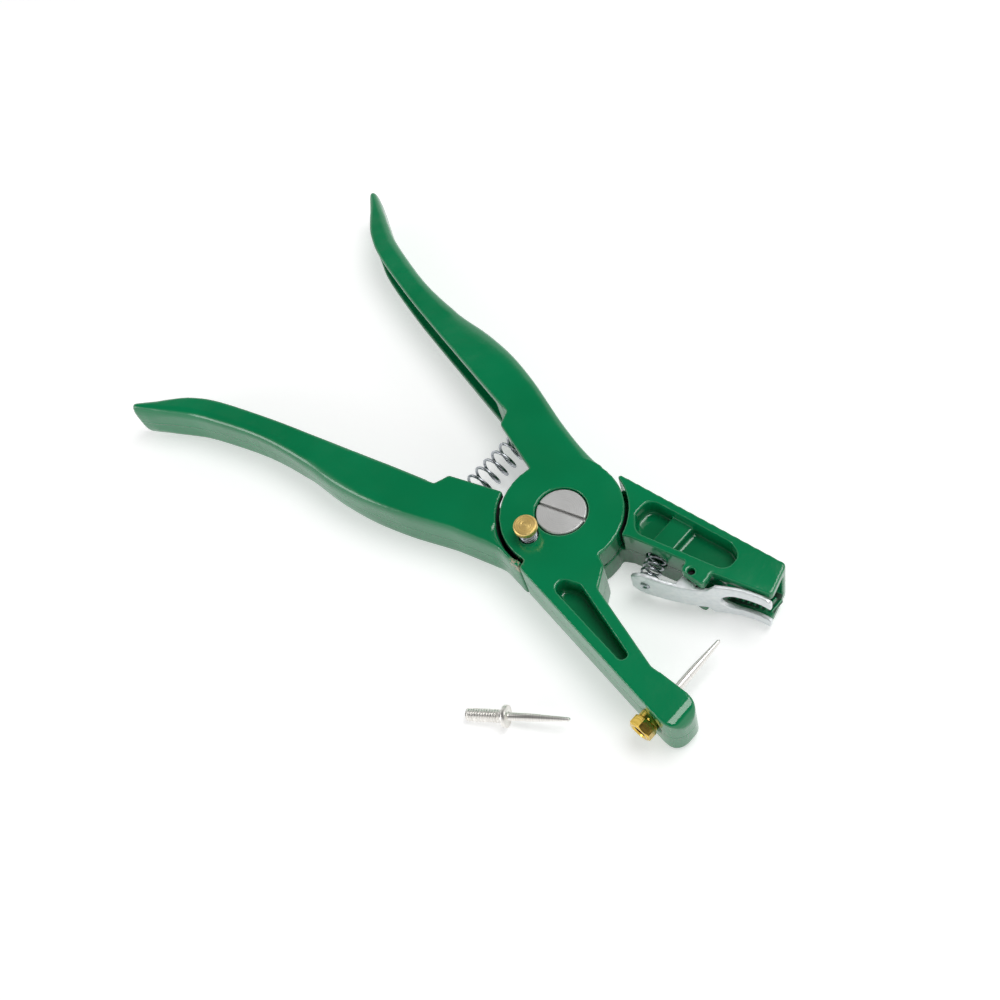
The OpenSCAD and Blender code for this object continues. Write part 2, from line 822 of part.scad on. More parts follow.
module hub_washer() {
    color([0.75, 0.66, 0.42])
        translate([0, 0, lap_low + face_gap])
            difference() {
                cylinder(r = lock_reach - foot_r - 1, h = lap_gap - 2 * face_gap);
                translate([0, 0, -past])
                    cylinder(r = sleeve_r + run_clear, h = lap_gap + 2 * past);
            }
}

// Springs: one unbroken wire of round section, along +Z from 0 to length

wire_rings = 8;
wire_sides = 6;

function coil_centre(r, length, turns, wire, k) =
    let (a = 360 * k / wire_rings, t = k / (turns * wire_rings))
    [r * cos(a), r * sin(a), mix(wire / 2, length - wire / 2, t)];
function coil_line(r, length, turns, wire) =
    let (
        last = floor(turns * wire_rings),
        mids = [for (k = [0:last]) coil_centre(r, length, turns, wire, k)],
        head = unit(mids[0] - coil_centre(r, length, turns, wire, 0.1)),
        tail = unit(mids[last] - coil_centre(r, length, turns, wire, last - 0.1))
    )
    concat([mids[0] + [head.x, head.y, 0] * wire], mids, [mids[last] + [tail.x, tail.y, 0] * wire]);

// Least gap between parts of the wire that lie half a turn or more apart
function coil_gap(line, wire) = min([
    for (i = [0:len(line) - 1])
        for (j = [i + wire_rings / 2:1:len(line) - 1])
            norm(line[i] - line[j])
]) - wire;

module coil(line, wire) {
    n = len(line);
    points = [
        for (i = [0:n - 1])
            let (
                d = unit(pick(line, i + 1) - pick(line, i - 1)),
                out = unit(cross(d, [0, 0, 1])),
                up = cross(out, d)
            )
            for (s = [0:wire_sides - 1])
                let (a = 360 * s / wire_sides)
                line[i] + (out * cos(a) + up * sin(a)) * wire / 2
    ];
    sides = [
        for (i = [0:n - 2])
            for (s = [0:wire_sides - 1])
                let (a = i * wire_sides + s, b = i * wire_sides + (s + 1) % wire_sides)
                each [[a, a + wire_sides, b], [b, a + wire_sides, b + wire_sides]]
    ];
    first_cap = [for (s = [1:wire_sides - 2]) [0, s, s + 1]];
    base = (n - 1) * wire_sides;
    last_cap = [for (s = [1:wire_sides - 2]) [base, base + s + 1, base + s]];
    polyhedron(points, concat(sides, first_cap, last_cap), convexity = 10);
}

handle_spring_l = 2 * (seat_y - seat_gap);
lock_spring_l = body_t + cap_rise - cap_t - web_top - 2 * face_gap;
handle_coil = coil_line(spring_r, handle_spring_l, spring_turns, spring_wire);
lock_coil = coil_line(lock_spring_r, lock_spring_l, lock_turns, lock_wire);
clip_coil = coil_line(clip_spring_r, clip_spring_l, clip_turns, clip_wire);
echo(str("handle spring gap ", coil_gap(handle_coil, spring_wire)));
echo(str("lock spring gap ", coil_gap(lock_coil, lock_wire)));
echo(str("clip spring gap ", coil_gap(clip_coil, clip_wire)));

module handle_spring() {
    color([0.55, 0.57, 0.6])
        translate([-spring_x, -handle_spring_l / 2, mid_z])
            rotate([-90, 0, 0])
                coil(handle_coil, spring_wire);
}

// Lock

module at_lock(z) {
    translate([lock_at.x, lock_at.y, z])
        children();
}

module lock_cap() {
    color([0.78, 0.6, 0.28])
        at_lock(body_t + cap_rise - cap_t)
            difference() {
                rotate_extrude()
                    polygon([
                        [0, 0], [cap_r - chamfer, 0], [cap_r, chamfer], [cap_r, cap_t - chamfer],
                        [cap_r - chamfer, cap_t], [0, cap_t]
                    ]);
                translate([0, 0, -past])
                    cylinder(r = stem_r + run_clear, h = past + cap_t / 2 + face_gap);
            }
}

module lock_stem() {
    color([0.7, 0.7, 0.72])
        at_lock(0) {
            translate([0, 0, foot_top - seat_gap - foot_t])
                cylinder(r = foot_r, h = foot_t);
            translate([0, 0, foot_top - seat_gap - past])
                cylinder(r = stem_r, h = body_t + cap_rise - cap_t / 2 - foot_top + seat_gap + past);
        }
}

module lock_spring() {
    color([0.7, 0.71, 0.73])
        at_lock(web_top + face_gap)
            coil(lock_coil, lock_wire);
}

// Clip

fork_start = tag_space_x - 1.5;
neck_start = lug_x - 1.6;
neck_end = lug_x + 6.4;
clip_start = clip_plan[0].x;
clip_stop = clip_plan[len(clip_plan) - 1].x;

// Side view of half the clip, from its tail to its fork, above the middle
clip_side = concat(
    [for (a = [180:-15:90]) [clip_start - 1 + tail_h / 2 * (1 + cos(a)), tail_h / 2 * sin(a)]],
    [[neck_start, neck_h / 2], [neck_end, neck_h / 2], [fork_start, fork_h / 2], [clip_stop - 2, fork_h / 2]],
    corner([clip_stop - 4, fork_h / 2], [clip_stop + 0.3, fork_h / 2], [clip_stop + 0.3, 0], 1.8)
);

clip_side_low = [for (i = [len(clip_side) - 1:-1:0]) [clip_side[i].x, -clip_side[i].y]];

module clip_sheet() {
    intersection() {
        linear_extrude(body_t)
            polygon(strip(clip_line, clip_t));
        translate([0, 2 * hub_r, mid_z])
            rotate([90, 0, 0])
                linear_extrude(4 * hub_r)
                    polygon(concat(clip_side, clip_side_low));
    }
}

// Slot of the fork, round at its closed end and open at the other
module fork_slot() {
    translate([slot_x + slot_h / 2, 0, mid_z])
        rotate([-90, 0, 0]) {
            cylinder(r = slot_h / 2, h = 2 * hub_r);
            translate([0, -slot_h / 2, 0])
                cube([2 * hub_r, slot_h, 2 * hub_r]);
        }
}

// Ear of the clip: a tongue from the neck to the pivot pin
module clip_ear(z) {
    translate([0, 0, z])
        linear_extrude(ear_t) {
            translate([lug_x, lug_y])
                circle(r = ear_r);
            polygon([clip_plan[2], clip_plan[3], [lug_x + ear_r, lug_y], [lug_x - ear_r, lug_y]]);
        }
}

module tag_clip() {
    color([0.88, 0.9, 0.91])
        difference() {
            union() {
                difference() {
                    clip_sheet();
                    fork_slot();
                }
                clip_ear(mid_z + neck_h / 2 - ear_t);
                clip_ear(mid_z - neck_h / 2);
            }
            translate([lug_x, lug_y, 0])
                cylinder(r = clip_pin_r + run_clear, h = body_t);
            along_clip_spring()
                translate([0, 0, -clip_t - seat_gap - past])
                    cylinder(r = rivet_r + run_clear, h = clip_t + 2 * past);
        }
}

module clip_pivot_pin() {
    recess = 2.2;
    color([0.6, 0.6, 0.62])
        translate([lug_x, lug_y, recess])
            cylinder(r = clip_pin_r, h = body_t - 2 * recess);
}

// Stud in the clip's tail, with its head outside and its end inside the clip spring
rivet_r = 1;
rivet_head_r = 1.7;
rivet_head_t = 0.5;
rivet_l = 2.2;

module clip_rivet() {
    outer = -seat_gap - clip_t;
    color([0.6, 0.62, 0.64])
        along_clip_spring()
            rotate_extrude()
                polygon([
                    [0, outer - rivet_head_t], [rivet_head_r - chamfer, outer - rivet_head_t],
                    [rivet_head_r, outer - face_gap], [rivet_r, outer - face_gap],
                    [rivet_r, rivet_l], [0, rivet_l]
                ]);
}

module clip_spring() {
    color([0.5, 0.52, 0.55])
        along_clip_spring()
            coil(clip_coil, clip_wire);
}

// Applicator pins, along +Z with the flange's thread side at 0

thread_turns = floor((thread_l - 1) / thread_pitch);

module pin_shape() {
    rotate_extrude()
        polygon(concat(
            [[0, -thread_l], [thread_r - thread_d, -thread_l]],
            [
                for (k = [0:thread_turns - 1])
                    each [
                        [thread_r - thread_d, -thread_l + k * thread_pitch + 0.1],
                        [thread_r, -thread_l + (k + 0.5) * thread_pitch]
                    ]
            ],
            [
                [thread_r - thread_d, -1], [thread_r - thread_d, 0],
                [flange_r - 0.2, 0], [flange_r, 0.2], [flange_r, flange_w - 0.2], [flange_r - 0.2, flange_w],
                [needle_r + 0.4, flange_w], [needle_r, flange_w + 0.4], [needle_r, flange_w + needle_root],
                [point_r, flange_w + needle_l - point_r],
                [point_r * 0.7, flange_w + needle_l - point_r * 0.3],
                [0, flange_w + needle_l]
            ]
        ));
}

module applicator_pin() {
    color([0.8, 0.79, 0.76])
        across(-pin_face)
            pin_shape();
}

module spare_pin() {
    lean = asin((flange_r - thread_r) / thread_l);
    color([0.8, 0.79, 0.76])
        translate([spare_x, spare_y, 0])
            rotate([0, 0, spare_angle])
                translate([0, 0, flange_r * cos(lean)])
                    rotate([0, 90 - lean, 0])
                        pin_shape();
}

hex_sides = 6;

module pin_nut() {
    color([0.8, 0.62, 0.25])
        difference() {
            union() {
                across(nut_seat)
                    cylinder(r = nut_sleeve_r, h = nut_sleeve_l);
                across(nut_seat - nut_collar_l)
                    cylinder(r = nut_collar_r, h = nut_collar_l);
                across(nut_seat - nut_collar_l - nut_hex_l)
                    cylinder(r = nut_hex_w / 2 / cos(180 / hex_sides), h = nut_hex_l, $fn = hex_sides);
            }
            across(nut_seat - nut_collar_l - nut_hex_l - past)
                cylinder(r = thread_r + run_clear, h = nut_collar_l + nut_hex_l + nut_sleeve_l + 2 * past);
        }
}

pin_lever();
clip_lever();
pivot_screw();
pivot_sleeve_nut();
hub_washer();
handle_spring();
applicator_pin();
pin_nut();
lock_cap();
lock_stem();
lock_spring();
tag_clip();
clip_pivot_pin();
clip_rivet();
clip_spring();
spare_pin();
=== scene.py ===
# %% [markdown]
# # Ear tag pliers
# The pliers are two green castings on a pivot screw, with small steel, brass and zinc parts.
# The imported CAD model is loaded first. It fixes every size and place, so this lesson only
# adds what solids lack: soft edges, wound springs, real threads, finishes and light.

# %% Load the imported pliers
import math

import bmesh
import bpy
from mathutils import Matrix, Vector


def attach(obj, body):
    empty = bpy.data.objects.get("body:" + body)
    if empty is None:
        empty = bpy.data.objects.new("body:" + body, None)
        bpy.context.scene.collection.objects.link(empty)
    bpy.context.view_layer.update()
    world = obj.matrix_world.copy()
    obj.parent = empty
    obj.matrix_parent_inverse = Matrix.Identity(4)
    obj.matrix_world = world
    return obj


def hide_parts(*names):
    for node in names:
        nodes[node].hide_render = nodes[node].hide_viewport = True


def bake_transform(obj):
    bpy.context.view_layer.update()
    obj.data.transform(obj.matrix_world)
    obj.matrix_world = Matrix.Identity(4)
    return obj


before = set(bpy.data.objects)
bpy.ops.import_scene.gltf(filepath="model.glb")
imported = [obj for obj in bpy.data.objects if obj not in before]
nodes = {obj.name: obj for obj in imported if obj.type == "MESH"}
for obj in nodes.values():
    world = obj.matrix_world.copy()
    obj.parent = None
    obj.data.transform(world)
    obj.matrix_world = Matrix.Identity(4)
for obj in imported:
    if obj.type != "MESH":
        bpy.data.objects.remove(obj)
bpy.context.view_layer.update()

MM = 0.001
print("CAD nodes:", ", ".join(sorted(nodes)))

# %% [markdown]
# ## Camera
# The photo was taken from above, on the side of the jaws, with a normal lens. The camera's
# place and its three directions come from fitting the CAD edges to the photo, so they are
# written here as a matrix instead of being aimed by hand.

# %% Camera
def camera_matrix(place, right, up, back):
    columns = [Vector(right), Vector(up), Vector(back), Vector(place) * MM]
    rows = [[column[i] for column in columns] for i in range(3)]
    return Matrix(rows + [[0, 0, 0, 1]])


camera = bpy.data.objects.new("camera", bpy.data.cameras.new("camera"))
bpy.context.scene.collection.objects.link(camera)
camera.data.lens = 43.2
camera.data.sensor_width = 36
camera.data.clip_start = 0.01
camera.matrix_world = camera_matrix(
    place=(174.1, -111.2, 358.6),
    right=(0.70764, 0.67741, -0.20090),
    up=(-0.51831, 0.69089, 0.50401),
    back=(0.48022, -0.25252, 0.84001),
)
bpy.context.scene.camera = camera
bpy.context.scene.view_settings.view_transform = "Standard"
print("camera at", [round(v, 3) for v in camera.location])

# %% [markdown]
# ## Small helpers for shader nodes
# A finish is a tree of nodes. These helpers add a node, set or link its inputs and hand back
# the socket that the next node needs, so that a tree reads like a list of steps.

# %% Node helpers
def fill(tree, socket, value):
    if isinstance(value, bpy.types.NodeSocket):
        tree.links.new(value, socket)
    else:
        socket.default_value = value


def add(tree, kind, settings=None, inputs=None):
    made = tree.nodes.new("ShaderNode" + kind)
    for name, value in (settings or {}).items():
        setattr(made, name, value)
    for name, value in (inputs or {}).items():
        fill(tree, made.inputs[name], value)
    return made


def maths(tree, operation, *values):
    made = add(tree, "Math", {"operation": operation})
    for socket, value in zip(made.inputs, values):
        fill(tree, socket, value)
    return made.outputs[0]


def product(tree, first, *others):
    for other in others:
        first = maths(tree, "MULTIPLY", first, other)
    return first


VALUE_OPERATIONS = ("DOT_PRODUCT", "LENGTH", "DISTANCE")


def vectors(tree, operation, *values):
    made = add(tree, "VectorMath", {"operation": operation})
    for socket, value in zip(made.inputs, values):
        fill(tree, socket, value)
    return made.outputs["Value" if operation in VALUE_OPERATIONS else "Vector"]


def steps(tree, value, low, high, to_low=0.0, to_high=1.0):
    made = add(tree, "MapRange", {"interpolation_type": "SMOOTHSTEP"})
    for socket, amount in zip(made.inputs, (value, low, high, to_low, to_high)):
        fill(tree, socket, amount)
    return made.outputs[0]


def mixed(tree, factor, first, second):
    made = add(tree, "Mix", {"data_type": "RGBA"})
    for index, value in ((0, factor), (6, first), (7, second)):
        fill(tree, made.inputs[index], value)
    return made.outputs[2]


print("node helpers ready")

# %% [markdown]
# ## Shared effects
# Cast paint, turned brass and plated sheet all need a few of the same effects: soft patches,
# marks of a lathe, and wear along edges. Each is a node group, built once, with its sizes in
# millimetres as inputs. They read object coordinates, so a mark stays on its part in any pose.

# %% Node groups
def new_group(name, inputs, outputs):
    tree = bpy.data.node_groups.new(name, "ShaderNodeTree")
    for socket, (kind, value) in inputs.items():
        made = tree.interface.new_socket(socket, in_out="INPUT", socket_type="NodeSocket" + kind)
        made.default_value = value
    for socket, kind in outputs.items():
        tree.interface.new_socket(socket, in_out="OUTPUT", socket_type="NodeSocket" + kind)
    given = tree.nodes.new("NodeGroupInput")
    result = tree.nodes.new("NodeGroupOutput")
    return tree, given.outputs, result.inputs


PER_METRE = 1000.0


def place_mm(tree):
    place = add(tree, "TexCoord").outputs["Object"]
    return vectors(tree, "MULTIPLY", place, (PER_METRE, PER_METRE, PER_METRE))


def soft_patches_group():
    tree, given, result = new_group(
        "soft_patches",
        {
            "Size": ("Float", 10.0), "Detail": ("Float", 3.0),
            "Low": ("Float", 0.35), "High": ("Float", 0.65),
        },
        {"Mask": "Float"},
    )
    scale = maths(tree, "DIVIDE", 1.0, given["Size"])
    inputs = {"Vector": place_mm(tree), "Scale": scale, "Detail": given["Detail"]}
    noise = add(tree, "TexNoise", inputs=inputs)
    fill(tree, result["Mask"], steps(tree, noise.outputs["Fac"], given["Low"], given["High"]))
    return tree


def turned_marks_group():
    tree, given, result = new_group(
        "turned_marks",
        {"Centre": ("Vector", (0, 0, 0)), "Axis": ("Vector", (0, 0, 1)), "Width": ("Float", 0.3)},
        {"Mask": "Float"},
    )
    arm = vectors(tree, "SUBTRACT", place_mm(tree), given["Centre"])
    along = vectors(tree, "DOT_PRODUCT", arm, given["Axis"])
    reach = vectors(tree, "LENGTH", vectors(tree, "CROSS_PRODUCT", arm, given["Axis"]))
    ring = maths(tree, "DIVIDE", maths(tree, "ADD", reach, along), given["Width"])
    inputs = {"W": ring, "Scale": 1.0, "Detail": 2.0}
    noise = add(tree, "TexNoise", {"noise_dimensions": "1D"}, inputs)
    fill(tree, result["Mask"], steps(tree, noise.outputs["Fac"], 0.3, 0.7))
    return tree


def worn_edges_group():
    tree, given, result = new_group(
        "worn_edges",
        {"Width": ("Float", 0.5), "Start": ("Float", 0.02), "Full": ("Float", 0.12)},
        {"Mask": "Float"},
    )
    radius = maths(tree, "MULTIPLY", given["Width"], MM)
    soft = add(tree, "Bevel", {"samples": 4}, {"Radius": radius})
    sharp = add(tree, "NewGeometry").outputs["Normal"]
    turn = maths(tree, "SUBTRACT", 1.0, vectors(tree, "DOT_PRODUCT", soft.outputs[0], sharp))
    fill(tree, result["Mask"], steps(tree, turn, given["Start"], given["Full"]))
    return tree


soft_patches = soft_patches_group()
turned_marks = turned_marks_group()
worn_edges = worn_edges_group()
print("node groups:", [group.name for group in (soft_patches, turned_marks, worn_edges)])


def effect(tree, group, **inputs):
    made = add(tree, "Group", {"node_tree": group}, inputs)
    return made.outputs["Mask"]


# %% [markdown]
# ## Finishes
# Every finish is one Principled shader. What is the same all over is set on its sockets, and
# only what changes over the surface is linked. A bump carries the relief that is too fine
# to model, such as the skin of the enamel or the lines of a lathe.

# %% Finish helper
def new_finish(name, **fixed):
    material = bpy.data.materials.new(name)
    material.use_nodes = True
    tree = material.node_tree
    shader = tree.nodes["Principled BSDF"]
    for socket, value in fixed.items():
        shader.inputs[socket.replace("_", " ")].default_value = value
    return material, tree, shader.inputs


def relief(tree, sockets, height, depth_mm):
    bump = add(tree, "Bump", inputs={"Height": height, "Distance": depth_mm * MM, "Strength": 1.0})
    fill(tree, sockets["Normal"], bump.outputs["Normal"])


def grey(value):
    return (value, value, value, 1.0)


print("finish helper ready")


# %% [markdown]
# ### Green enamel
# The castings are dipped in a deep gloss green. The colour drifts slightly where the coat is
# thicker, its skin is faintly uneven, and a low seam runs round the sides where the two halves of
# the mould met. The coat has chipped at the corner that strikes the stop. Two places get painted
# shade, a near-black, rougher coat that stands for the shade falling in them: the narrow gap round
# the hub, and the jaw's floor between the ribs. Each mark is a mask worked out from the place on
# the casting, so it stays there in any pose. Every pair of numbers says where a mask starts and
# where it is full, in millimetres.

# %% Marks on the castings
CHIP_PLACE, CHIP_REACH = (1.0, -23.6, 18.0), (4.0, 1.5)
SEAM_Z, SEAM_EDGE = 10.0, (0.4, 0.05)
# Painted shade: the gap round the hub and the jaw's floor get a near-black colour for the shade in
# them.
GAP_IN, GAP_OUT, GAP_TOP = (20.6, 20.9), (22.6, 22.3), (19.7, 18.6)
LEFT_GAP_X, LEFT_GAP_Y = (0.0, -2.0), (-1.0, -3.0)
RIGHT_GAP_FROM, RIGHT_GAP_TO = (5.0, 7.0), (15.5, 14.0)
JAW_LIP_X, JAW_LIP_Y = (50.0, 80.0), (11.45, 19.49)
JAW_FROM, JAW_FRONT, JAW_BACK = (56.5, 57.5), (0.6, 1.2), (8.5, 8.0)
JAW_TOP, JAW_BOTTOM, JAW_SHADE_LEVEL = (4.5, 4.2), (3.0, 3.5), (0.0, 0.85)


def seam_mask(tree, height):
    from_seam = maths(tree, "ABSOLUTE", maths(tree, "SUBTRACT", height, SEAM_Z))
    return steps(tree, from_seam, *SEAM_EDGE)


# Mask of the painted shade in the narrow gap round the hub.
def hub_gap_shade(tree, axes):
    reach = vectors(tree, "LENGTH", vectors(tree, "MULTIPLY", place_mm(tree), (1, 1, 0)))
    ring = product(tree, steps(tree, reach, *GAP_IN), steps(tree, reach, *GAP_OUT))
    left = product(tree, steps(tree, axes["X"], *LEFT_GAP_X), steps(tree, axes["Y"], *LEFT_GAP_Y))
    right_from = steps(tree, axes["Y"], *RIGHT_GAP_FROM)
    right = product(tree, right_from, steps(tree, axes["Y"], *RIGHT_GAP_TO))
    below_top = steps(tree, axes["Z"], *GAP_TOP)
    return product(tree, ring, maths(tree, "MAXIMUM", left, right), below_top)


# Mask of the painted shade on the jaw's floor inside the cavity.
def jaw_floor_shade(tree, axes):
    lip_y = steps(tree, axes["X"], *JAW_LIP_X, *JAW_LIP_Y)
    past_lip = maths(tree, "SUBTRACT", axes["Y"], lip_y)
    return product(
        tree,
        steps(tree, axes["X"], *JAW_FROM),
        steps(tree, past_lip, *JAW_FRONT),
        steps(tree, past_lip, *JAW_BACK),
        steps(tree, axes["Z"], *JAW_TOP),
        steps(tree, axes["Z"], *JAW_BOTTOM, *JAW_SHADE_LEVEL),
    )


print("marks on the castings: chip, seam, gap round the hub, jaw floor")

# %% Green enamel
COAT_THIN, COAT_THICK = (0.0, 0.192, 0.066, 1), (0.0, 0.226, 0.082, 1)
COAT_EDGE, EDGE_SHARE = (0.02, 0.30, 0.15, 1), 0.35
# The near-black colour beside the bare metal is painted shade for the hub gap and the jaw's floor.
BARE_METAL, PAINTED_SHADE = (0.40, 0.33, 0.21, 1), (0.001, 0.005, 0.003, 1)
GLOSS, SHADE_ROUGH = (0.13, 0.19), 0.6
SEAM_RISE, SKIN_RISE, SWELL_RISE, CHIP_DEPTH = 0.07, 0.012, 0.08, 0.08


def green_enamel():
    material, tree, sockets = new_finish("green_enamel", Metallic=0.0, IOR=1.6)
    axes = add(tree, "SeparateXYZ", inputs={"Vector": place_mm(tree)}).outputs
    drift = effect(tree, soft_patches, Size=38.0, Detail=2.0, Low=0.3, High=0.7)
    coat = mixed(tree, drift, COAT_THIN, COAT_THICK)
    edge = effect(tree, worn_edges, Width=0.9, Start=0.03, Full=0.25)
    coat = mixed(tree, product(tree, edge, EDGE_SHARE), coat, COAT_EDGE)
    speck = effect(tree, soft_patches, Size=0.9, Detail=4.0, Low=0.47, High=0.55)
    corner = vectors(tree, "DISTANCE", place_mm(tree), CHIP_PLACE)
    chipped = product(tree, steps(tree, corner, *CHIP_REACH), speck)
    coat = mixed(tree, chipped, coat, BARE_METAL)
    # Painted shade: near-black and rougher in the gap round the hub and on the jaw's floor.
    shade_mask = maths(tree, "MAXIMUM", hub_gap_shade(tree, axes), jaw_floor_shade(tree, axes))
    fill(tree, sockets["Base Color"], mixed(tree, shade_mask, coat, PAINTED_SHADE))
    smear = effect(tree, soft_patches, Size=14.0, Detail=4.0, Low=0.3, High=0.75)
    gloss = steps(tree, smear, 0.0, 1.0, *GLOSS)
    rough = maths(tree, "ADD", gloss, product(tree, shade_mask, SHADE_ROUGH))
    fill(tree, sockets["Roughness"], rough)
    skin = effect(tree, soft_patches, Size=1.3, Detail=1.0, Low=0.2, High=0.8)
    swell = effect(tree, soft_patches, Size=9.0, Detail=1.0, Low=0.2, High=0.8)
    seam = product(tree, seam_mask(tree, axes["Z"]), SEAM_RISE)
    rise = maths(tree, "ADD", seam, product(tree, skin, SKIN_RISE))
    rise = maths(tree, "ADD", rise, product(tree, swell, SWELL_RISE))
    rise = maths(tree, "SUBTRACT", rise, product(tree, chipped, CHIP_DEPTH))
    relief(tree, sockets, rise, 1.0)
    return material


enamel = green_enamel()
print("enamel:", len(enamel.node_tree.nodes), "nodes")


# %% [markdown]
# ### Metals
# The screw's head and the brass parts were turned on a lathe, so fine rings run round their
# axes. The pins are nickel plated over the same rings. The clip's sheet has the mottled, faintly
# blue look of zinc plating, and the spring wires are smooth and a little darker.

# %% Kinds of metal
RING_SHARE, CLOUD_SHARE = 0.7, 0.3
ZINC_DARK, ZINC_LIGHT = (0.74, 0.78, 0.80, 1), (0.93, 0.94, 0.94, 1)
ZINC_BLUE, BLUE_SHARE = (0.88, 0.91, 0.94, 1), 0.5
WIRE_DARK, WIRE_LIGHT = (0.30, 0.32, 0.35, 1), (0.62, 0.64, 0.68, 1)


def turned_metal(name, light, dark, centre, axis, width, smooth, rough, depth):
    material, tree, sockets = new_finish(name, Metallic=1.0)
    rings = effect(tree, turned_marks, Centre=centre, Axis=axis, Width=width)
    cloud = effect(tree, soft_patches, Size=3.0, Detail=5.0, Low=0.3, High=0.7)
    mark = maths(tree, "ADD", product(tree, rings, RING_SHARE), product(tree, cloud, CLOUD_SHARE))
    fill(tree, sockets["Base Color"], mixed(tree, mark, dark, light))
    fill(tree, sockets["Roughness"], steps(tree, mark, 0.0, 1.0, rough, smooth))
    relief(tree, sockets, rings, depth)
    return material


def zinc_sheet():
    material, tree, sockets = new_finish("zinc_sheet", Metallic=0.55)
    inputs = {"Vector": place_mm(tree), "Scale": 0.8}
    cells = add(tree, "TexVoronoi", {"feature": "SMOOTH_F1"}, inputs)
    cloud = effect(tree, soft_patches, Size=2.2, Detail=6.0, Low=0.3, High=0.7)
    spangle = mixed(tree, cells.outputs["Distance"], ZINC_DARK, ZINC_LIGHT)
    plating = mixed(tree, product(tree, cloud, BLUE_SHARE), spangle, ZINC_BLUE)
    fill(tree, sockets["Base Color"], plating)
    fill(tree, sockets["Roughness"], steps(tree, cloud, 0.0, 1.0, 0.30, 0.50))
    relief(tree, sockets, cloud, 0.02)
    return material


def spring_wire():
    material, tree, sockets = new_finish("spring_wire", Metallic=1.0)
    cloud = effect(tree, soft_patches, Size=1.1, Detail=5.0, Low=0.3, High=0.7)
    fill(tree, sockets["Base Color"], mixed(tree, cloud, WIRE_DARK, WIRE_LIGHT))
    fill(tree, sockets["Roughness"], steps(tree, cloud, 0.0, 1.0, 0.20, 0.36))
    relief(tree, sockets, cloud, 0.01)
    return material


print("kinds of metal: turned metal, zinc sheet, spring wire")

# %% Metals of the small parts
LOCK = (-2.786, -13.107)
PIN = (66.0, 10.0)
PIVOT, CLIP_PIVOT = (0, 0, 0), (47.6, 8.8, 0)
UP = (0.0, 0.0, 1.0)
ALONG_Y = (0.0, 1.0, 0.0)
STEEL_LIGHT, STEEL_DARK = (0.72, 0.72, 0.71, 1), (0.58, 0.58, 0.57, 1)
# The clip's pivot pin is coloured near-black: painted shade for the dark inside of the lug's hole.
PIN_SHADE_LIGHT, PIN_SHADE_DARK = grey(0.03), grey(0.012)
BRASS_LIGHT, BRASS_DARK = (0.92, 0.68, 0.27, 1), (0.74, 0.50, 0.15, 1)
NUT_LIGHT, NUT_DARK = (0.82, 0.58, 0.14, 1), (0.62, 0.40, 0.06, 1)
NICKEL_LIGHT, NICKEL_DARK = (0.93, 0.91, 0.87, 1), (0.76, 0.74, 0.70, 1)
NICKEL_MARKS = {"width": 0.4, "smooth": 0.3, "rough": 0.42, "depth": 0.003}
lock_centre = (*LOCK, 0)
pin_centre = (PIN[0], 0, PIN[1])
screw_steel = turned_metal(
    "screw_steel", STEEL_LIGHT, STEEL_DARK, PIVOT, UP,
    width=0.25, smooth=0.45, rough=0.58, depth=0.012,
)
# Painted shade: a near-black steel on the clip's pivot pin, standing for the shade in the lug's
# hole.
shade_black_steel = turned_metal(
    "shade_black_steel", PIN_SHADE_LIGHT, PIN_SHADE_DARK, CLIP_PIVOT, UP,
    width=0.3, smooth=0.4, rough=0.6, depth=0.01,
)
cap_brass = turned_metal(
    "cap_brass", BRASS_LIGHT, BRASS_DARK, lock_centre, UP,
    width=0.35, smooth=0.36, rough=0.5, depth=0.03,
)
nut_brass = turned_metal(
    "nut_brass", NUT_LIGHT, NUT_DARK, pin_centre, ALONG_Y,
    width=0.4, smooth=0.1, rough=0.24, depth=0.008,
)
pin_nickel = turned_metal(
    "pin_nickel", NICKEL_LIGHT, NICKEL_DARK, pin_centre, ALONG_Y, **NICKEL_MARKS
)
zinc = zinc_sheet()
wire_steel = spring_wire()
metals = (screw_steel, shade_black_steel, cap_brass, nut_brass, pin_nickel, zinc, wire_steel)
print("metals:", [metal.name for metal in metals])

# %% [markdown]
# ## Dressing the CAD nodes
# A CAD mesh has knife-sharp edges and many flat triangles. Its own points stay untouched, and
# modifiers do the rest: join the faces, clear away needless edges, round the edges by the
# radius that the casting or sheet really has, and shade flat faces flat and curves smooth.

# %% Mesh modifiers
MERGE_MM = 0.002
SMOOTH_BELOW = math.radians(32)


def new_shape_group(name):
    tree = bpy.data.node_groups.new(name, "GeometryNodeTree")
    for way in ("INPUT", "OUTPUT"):
        tree.interface.new_socket("Geometry", in_out=way, socket_type="NodeSocketGeometry")
    given = tree.nodes.new("NodeGroupInput")
    result = tree.nodes.new("NodeGroupOutput")
    return tree, given.outputs, result.inputs


def joined_faces_group():
    tree, given, result = new_shape_group("joined_faces")
    plain = tree.nodes.new("GeometryNodeRemoveAttribute")
    plain.inputs["Name"].default_value = "custom_normal"
    merge = tree.nodes.new("GeometryNodeMergeByDistance")
    merge.inputs["Distance"].default_value = MERGE_MM * MM
    tree.links.new(given[0], plain.inputs["Geometry"])
    tree.links.new(plain.outputs[0], merge.inputs["Geometry"])
    tree.links.new(merge.outputs[0], result[0])
    return tree


